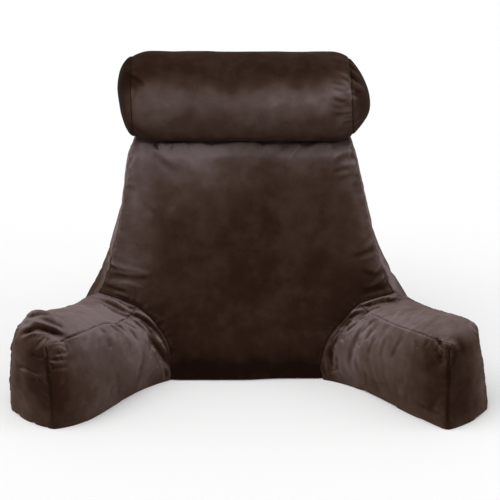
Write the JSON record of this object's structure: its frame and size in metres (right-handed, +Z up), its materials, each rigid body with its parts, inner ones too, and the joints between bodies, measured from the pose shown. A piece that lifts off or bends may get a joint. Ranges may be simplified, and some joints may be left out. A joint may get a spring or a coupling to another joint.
{
  "type": "reading pillow with arms",
  "caption": "Plush backrest cushion with splayed arms, an outer side pocket and a bolster neck roll along its top, for sitting up in bed or on a floor.",
  "frame": {"origin": "on the floor, under the middle of the whole pillow's box", "axes": "+X to the right as seen from the front, +Y towards the back panel, +Z up; the front panel and the arms' ends face -Y"},
  "size_m": [0.9523, 0.4744, 0.6525],
  "materials": {
    "brown_plush": "short velvety plush, brushed pile with a soft pale sheen",
    "roll_plush": "short velvety plush, brushed pile with a soft pale sheen",
    "pocket_plush": "short velvety plush, doubled at its hem"
  },
  "bodies": {
    "root": {"backrest": "brown_plush", "arm_left": "brown_plush", "arm_right": "brown_plush", "neck_roll": "roll_plush", "pocket_left": "pocket_plush"}
  },
  "joints": []
}
